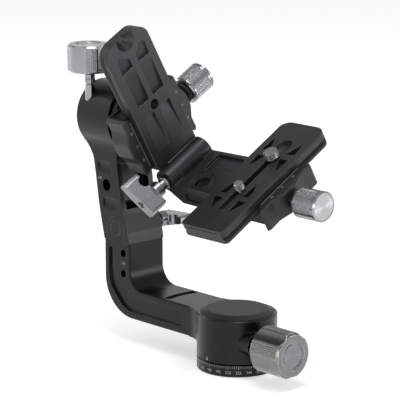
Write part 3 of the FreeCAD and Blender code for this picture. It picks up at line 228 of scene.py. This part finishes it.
# faces spun on the lathe: pale on the clamp knobs, a touch darker on the tilt knob, grey on the pan knob
swingKnobAxis = tuple(tiltFrame.to_3x3() @ Vector((0, 1, 0)))
spunDiscs = {
    "spunDiscClampOne": ("clamp_knob_disc_1", swingKnobAxis, "#a8aaab", "#b6b7b8"),
    "spunDiscClampTwo": ("clamp_knob_disc_2", (1, 0, 0), "#a8aaab", "#b6b7b8"),
    "spunDiscTilt": ("tilt_knob_disc", (0, 0, 1), "#a2a4a6", "#b0b2b3"),
    "spunDiscPan": ("pan_knob_disc", (1, 0, 0), "#7b7d80", "#888a8d")}
for name, (node, axis, dark, pale) in spunDiscs.items():
    low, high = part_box(node)
    nodes[node].data.materials[0] = partFinish(name, {
        "dark": dark, "pale": pale, "edge": "#f2f2f2", "wearAndHighlight": 0.4, "toneMm": 8, "grainMm": 0.3,
        "edgeMm": 0.2, "rough": (0.2, 0.3), "bump": 0.04, "metal": 1.0,
        "centre": tuple((low + high) / 2), "axis": axis, "spun": 0.75})

# clamp knobs: turned like the tilt knob, each with its lines round its own axis
for number, place in knobFrames.items():
    nodes["clamp_knob_" + number].data.materials[0] = partFinish("turnedAluminiumClamp" + number, {
        "dark": "#8f9193", "pale": "#a6a8aa", "edge": "#ececed", "wearAndHighlight": 0.5, "toneMm": 6, "grainMm": 0.25,
        "edgeMm": 0.2, "rough": (0.18, 0.3), "bump": 0.1, "metal": 1.0, "centre": tuple(place.translation),
        "turn": tuple(place.to_euler()), "stretch": (40, 40, 1)})
print("finishes set")


def finishPiece(name, bm, material, body):
    mesh = bpy.data.meshes.new(name)
    bm.to_mesh(mesh)
    bm.free()
    mesh.materials.append(material)
    for face in mesh.polygons:
        face.use_smooth = False
    piece = bpy.data.objects.new(name, mesh)
    scene.collection.objects.link(piece)
    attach(piece, body)
    return piece


def addPart(bm, part):
    mesh = bpy.data.meshes.new("part")
    part.to_mesh(mesh)
    part.free()
    bm.from_mesh(mesh)
    bpy.data.meshes.remove(mesh)


def trimPart(part, co, no):
    bmesh.ops.bisect_plane(part, geom=part.verts[:] + part.edges[:] + part.faces[:], dist=1e-5,
                           plane_co=co, plane_no=no, clear_outer=True)


# marks are flat and laid on the surface by put, which turns mark coordinates to metres
markSet = {"digitShare": 0.72, "curveSteps": 4}


def addText(bm, text, height, put):
    curve = bpy.data.curves.new("mark", "FONT")
    curve.body = text
    curve.size = height / markSet["digitShare"]
    curve.align_x = "CENTER"
    curve.align_y = "CENTER"
    curve.resolution_u = markSet["curveSteps"]
    holder = bpy.data.objects.new("mark", curve)
    scene.collection.objects.link(holder)
    mesh = bpy.data.meshes.new_from_object(holder.evaluated_get(bpy.context.evaluated_depsgraph_get()))
    part = bmesh.new()
    part.from_mesh(mesh)
    for vert in part.verts:
        vert.co = put(vert.co.x, vert.co.y)
    bpy.data.objects.remove(holder)
    bpy.data.meshes.remove(mesh)
    addPart(bm, part)


def addTick(bm, u, v, wide, tall, put):
    part = bmesh.new()
    bmesh.ops.create_grid(part, x_segments=1, y_segments=1, size=0.5)
    for vert in part.verts:
        vert.co = put(u + vert.co.x * wide, v + vert.co.y * tall)
    addPart(bm, part)


# degree ring round the base
degreeRing = {"radius": 25.54, "offset": 267, "tickStep": 3, "labelStep": 15, "tickTop": 7.0,
              "tickTall": 1.3, "longTall": 2.0, "tickWide": 0.24, "textZ": 2.9, "textTall": 1.8}
bm = bmesh.new()
for label in range(0, 360, degreeRing["tickStep"]):
    azimuth = math.radians(label - degreeRing["offset"])

    def onBase(u, v, azimuth=azimuth):
        turn = azimuth + u / degreeRing["radius"]
        out = Vector((math.cos(turn), math.sin(turn), 0))
        return out * degreeRing["radius"] * mm + Vector((0, 0, v * mm))

    labelled = label % degreeRing["labelStep"] == 0
    tall = degreeRing["longTall"] if labelled else degreeRing["tickTall"]
    addTick(bm, 0, degreeRing["tickTop"] - tall / 2, degreeRing["tickWide"], tall, onBase)
    if labelled:
        addText(bm, str(label), degreeRing["textTall"], lambda u, v: onBase(u, v + degreeRing["textZ"]))
finishPiece("degreeRing", bm, laserMark, "base")

# pointer above the ring, a triangle that spans -0.5 to 1 before it is sized
pointerSet = {"azimuth": -91.7, "low": 8.9, "tall": 2.8, "half": 0.75, "radius": 25.54}
bm = bmesh.new()
bmesh.ops.create_circle(bm, cap_ends=True, segments=3, radius=1)
for vert in bm.verts:
    turn = math.radians(pointerSet["azimuth"]) + vert.co.x * pointerSet["half"] / pointerSet["radius"]
    vert.co = Vector((math.cos(turn) * pointerSet["radius"], math.sin(turn) * pointerSet["radius"],
                      pointerSet["low"] + pointerSet["tall"] * (vert.co.y + 0.5) / 1.5)) * mm
finishPiece("degreePointer", bm, laserMark, "arm")

# thread sizes beside the arm's side holes
sizeMarks = {"face": -15.19, "tall": 2.0, "marks": {"1/4": (-91.0, 52.4), "3/8": (-113.4, 106.4)}}
bm = bmesh.new()
for text, spot in sizeMarks["marks"].items():
    addText(bm, text, sizeMarks["tall"],
            lambda u, v: Vector((spot[0] + u, sizeMarks["face"], spot[1] + v)) * mm)
finishPiece("threadSizeMarks", bm, laserMark, "arm")

# rule on each jaw's top
jawRule = {"line": 20.0, "top": -4.67, "swingReach": 17.5, "lensReach": 18.5, "width": 0.22, "step": 1.5,
           "tick": 0.8, "longTick": 1.3, "longEvery": 7, "labelS": 22.7, "tall": 1.7,
           "labels": ((-10.5, "10"), (0, "0"), (10.5, "10"))}


def jawScale(name, place, side, body, reach):
    bm = bmesh.new()

    def onJaw(u, v):
        return place @ (Vector((side * u, v, jawRule["top"])) * mm)

    addTick(bm, jawRule["line"], 0, jawRule["width"], 2 * reach, onJaw)
    count = int(reach / jawRule["step"])
    for i in range(-count, count + 1):
        tick = jawRule["longTick"] if i % jawRule["longEvery"] == 0 else jawRule["tick"]
        addTick(bm, jawRule["line"] + tick / 2, i * jawRule["step"], tick, jawRule["width"], onJaw)
    for t, text in jawRule["labels"]:
        addText(bm, text, jawRule["tall"], lambda u, v: onJaw(jawRule["labelS"] - v, t + side * u))
    bmesh.ops.recalc_face_normals(bm, faces=bm.faces)
    finishPiece(name, bm, laserMark, body)


jawScale("jawRuleSwingFixed", clampFrames["1"], -1, "swing", jawRule["swingReach"])
jawScale("jawRuleSwingMoving", clampFrames["1"], 1, "jaw_1", jawRule["swingReach"])
jawScale("jawRuleLensMoving", clampFrames["2"], 1, "jaw_2", jawRule["lensReach"])
print("marks made")


# diamond knurl in the knob's panels: a grid turned 45 degrees, trimmed, each cell drawn to a point
def knurl(number, body):
    bm = bmesh.new()
    place = knobFrames[number]
    valley = knobSet["radius"] - knobSet["recess"] + knobSet["clear"]
    halfArc = math.radians(360 / knobSet["panels"] * knobSet["share"]) * valley
    middle = (knobSet["panelLow"] + knobSet["panelHigh"]) / 2
    halfLong = (knobSet["panelHigh"] - knobSet["panelLow"]) / 2
    cell = knobSet["pitch"] / math.sqrt(2)
    cells = int(2 * halfLong * knobSet["spare"] / cell)
    for i in range(knobSet["panels"]):
        part = bmesh.new()
        bmesh.ops.create_grid(part, x_segments=cells, y_segments=cells, size=cells * cell / 2)
        bmesh.ops.rotate(part, cent=(0, 0, 0), matrix=Matrix.Rotation(math.radians(45), 3, "Z"),
                         verts=part.verts)
        for co, no in (((halfArc, 0, 0), (1, 0, 0)), ((-halfArc, 0, 0), (-1, 0, 0)),
                       ((0, halfLong, 0), (0, 1, 0)), ((0, -halfLong, 0), (0, -1, 0))):
            trimPart(part, co, no)
        whole = max(face.calc_area() for face in part.faces)
        sizes = {face: face.calc_area() / whole for face in part.faces}
        for face, size in sizes.items():
            poked = bmesh.ops.poke(part, faces=[face])
            poked["verts"][0].co.z = knobSet["height"] * size
        for vert in part.verts:
            turn = math.radians(360 / knobSet["panels"] * i) + vert.co.x / valley
            radius = valley + vert.co.z
            vert.co = place @ (Vector((math.cos(turn) * radius, math.sin(turn) * radius,
                                       middle + vert.co.y)) * mm)
        addPart(bm, part)
    finishPiece("diamondKnurl" + number, bm, nodes["clamp_knob_" + number].data.materials[0], body)


knurl("1", "knob_1")
knurl("2", "knob_2")
print("knurls made")

# camera screws: round head under the plate, neck in the slot, real helical thread above it
screwSet = {"plate": 9.2, "underSlot": 5.0, "head": 7.0, "headTall": 3.0, "headGap": 0.1, "neck": 2.25,
            "neckTop": 0.3, "proud": 5.2, "tip": 0.6, "tipLap": 0.05, "sides": 48}
# the thread's depth and flat crest are shares of its pitch; it is spun from below the face and trimmed
threadSet = {"depth": 0.61, "crestFrom": 0.44, "crestTo": 0.56, "low": 0.15, "early": 2, "crestLoss": 0.12,
             "steps": 32, "weld": 0.001}
cameraScrews = {"quarter_screw": {"radius": 3.175, "pitch": 1.27, "along": -13.7},
                "three_eighth_screw": {"radius": 4.7625, "pitch": 1.5875, "along": 18.8}}


def addRound(bm, radius, low, high, topRadius=None):
    bmesh.ops.create_cone(bm, cap_ends=True, segments=screwSet["sides"], radius1=radius,
                          radius2=radius if topRadius is None else topRadius, depth=high - low,
                          matrix=Matrix.Translation((0, 0, (low + high) / 2)))


for node, size in cameraScrews.items():
    pitch = size["pitch"]
    root = size["radius"] - threadSet["depth"] * pitch
    top = screwSet["proud"] - screwSet["tip"]
    shoulder = -screwSet["plate"] + screwSet["underSlot"]
    bm = bmesh.new()
    addRound(bm, screwSet["head"], shoulder - screwSet["headGap"] - screwSet["headTall"],
             shoulder - screwSet["headGap"])
    addRound(bm, screwSet["neck"], shoulder - 2 * screwSet["headGap"], screwSet["neckTop"])
    addRound(bm, root, threadSet["low"], top)
    part = bmesh.new()
    turns = math.ceil(screwSet["proud"] / pitch) + threadSet["early"]
    start = threadSet["low"] - threadSet["early"] * pitch
    points = [(root, 0), (size["radius"], pitch * threadSet["crestFrom"]),
              (size["radius"], pitch * threadSet["crestTo"]), (root, pitch)]
    verts = [part.verts.new((r, 0, start + z)) for r, z in points]
    edges = [part.edges.new(pair) for pair in zip(verts, verts[1:])]
    steps = threadSet["steps"] * turns
    bmesh.ops.spin(part, geom=verts + edges, cent=(0, 0, 0), axis=(0, 0, 1), angle=math.tau * turns,
                   steps=steps, dvec=(0, 0, pitch * turns / steps))
    bmesh.ops.remove_doubles(part, verts=part.verts, dist=threadSet["weld"])
    for z, up in ((threadSet["low"], -1), (top, 1)):
        trimPart(part, (0, 0, z), (0, 0, up))
    bmesh.ops.recalc_face_normals(part, faces=part.faces)
    addPart(bm, part)
    crest = size["radius"] - threadSet["crestLoss"]
    addRound(bm, crest, top - screwSet["tipLap"], screwSet["proud"],
             size["radius"] - screwSet["tip"] - threadSet["crestLoss"])
    bmesh.ops.translate(bm, verts=bm.verts, vec=(0, size["along"], 0))
    for vert in bm.verts:
        vert.co = clampFrames["2"] @ (vert.co * mm)
    piece = finishPiece("threaded_" + node, bm, screwSteel, node)
    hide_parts(node)
print("camera screws made")

# pale paper floor just under the pad; what camera, glossy and transmission rays see of it is lifted to white
floorSet = {"size": 60.0, "drop": 0.2, "colour": "#f0f0f0", "fleck": "#f2f2f2", "fleckMm": 2.5, "lift": 0.44}
bm = bmesh.new()
bmesh.ops.create_grid(bm, x_segments=1, y_segments=1, size=floorSet["size"])
bmesh.ops.translate(bm, verts=bm.verts, vec=(0, 0, -floorSet["drop"] * mm))
floorMesh = bpy.data.meshes.new("studioFloor")
bm.to_mesh(floorMesh)
bm.free()
floor = bpy.data.objects.new("studioFloor", floorMesh)
scene.collection.objects.link(floor)
floorPaper = bpy.data.materials.new("whitePaperFloor")
floorPaper.use_nodes = True
tree = floorPaper.node_tree
tree.nodes.clear()
rays = addNode(tree, "LightPath")
paperPlace = addNode(tree, "TexCoord")
fibres = addNode(tree, "TexNoise", {"Scale": 1 / (floorSet["fleckMm"] * mm)},
                 {"Vector": paperPlace.outputs["Object"]})
tint = addNode(tree, "Mix", {
    "data_type": "RGBA", 6: hexColour(floorSet["colour"]), 7: hexColour(floorSet["fleck"])},
    {0: fibres.outputs["Fac"]})
paper = addNode(tree, "BsdfDiffuse", {}, {"Color": tint.outputs[2]})
shown = addNode(tree, "Math", {"operation": "MAXIMUM"},
                {0: rays.outputs["Is Camera Ray"], 1: rays.outputs["Is Glossy Ray"]})
seen = addNode(tree, "Math", {"operation": "MAXIMUM"},
               {0: shown.outputs["Value"], 1: rays.outputs["Is Transmission Ray"]})
lift = addNode(tree, "Math", {"operation": "MULTIPLY", 1: floorSet["lift"]}, {0: seen.outputs["Value"]})
glow = addNode(tree, "Emission", {"Color": (1, 1, 1, 1)}, {"Strength": lift.outputs["Value"]})
both = addNode(tree, "AddShader", {}, {0: paper.outputs["BSDF"], 1: glow.outputs["Emission"]})
addNode(tree, "OutputMaterial", links={"Surface": both.outputs["Shader"]})
floorMesh.materials.append(floorPaper)

# plain white room, a little darker overhead; every ray sees the same room
room = {"low": 1.0, "high": 0.5, "from": 0.05, "to": 0.5}
world = bpy.data.worlds.new("softRoom")
scene.world = world
world.use_nodes = True
tree = world.node_tree
tree.nodes.clear()
way = addNode(tree, "TexCoord")
height = addNode(tree, "SeparateXYZ", {}, {"Vector": way.outputs["Generated"]})
level = addNode(tree, "MapRange", {
    "From Min": room["from"], "From Max": room["to"], "To Min": room["low"], "To Max": room["high"]},
    {"Value": height.outputs["Z"]})
sky = addNode(tree, "Background", {"Color": (1, 1, 1, 1)}, {"Strength": level.outputs["Result"]})
addNode(tree, "OutputWorld", links={"Surface": sky.outputs["Background"]})

# three soft strips round the object and a panel above it, all aimed at its middle
lampAim = Vector((-0.04, 0, 0.11))
lamps = {"leftStrip": {"place": (-1.15, -0.3, 0.42), "wide": 0.16, "tall": 0.7, "power": 3.2},
         "frontStrip": {"place": (1.2, -1.18, 0.28), "wide": 0.22, "tall": 0.5, "power": 3.4},
         "rightStrip": {"place": (0.95, 0.8, 0.27), "wide": 0.2, "tall": 0.45, "power": 2.4},
         "topPanel": {"place": (0.15, -0.1, 1.15), "wide": 0.45, "tall": 0.45, "power": 3.8}}
for name, lamp in lamps.items():
    data = bpy.data.lights.new(name, "AREA")
    data.shape = "RECTANGLE"
    data.size = lamp["wide"]
    data.size_y = lamp["tall"]
    data.energy = lamp["power"]
    light = bpy.data.objects.new(name, data)
    scene.collection.objects.link(light)
    light.location = lamp["place"]
    light.rotation_euler = (lampAim - light.location).to_track_quat("-Z", "Y").to_euler()
print("light set")
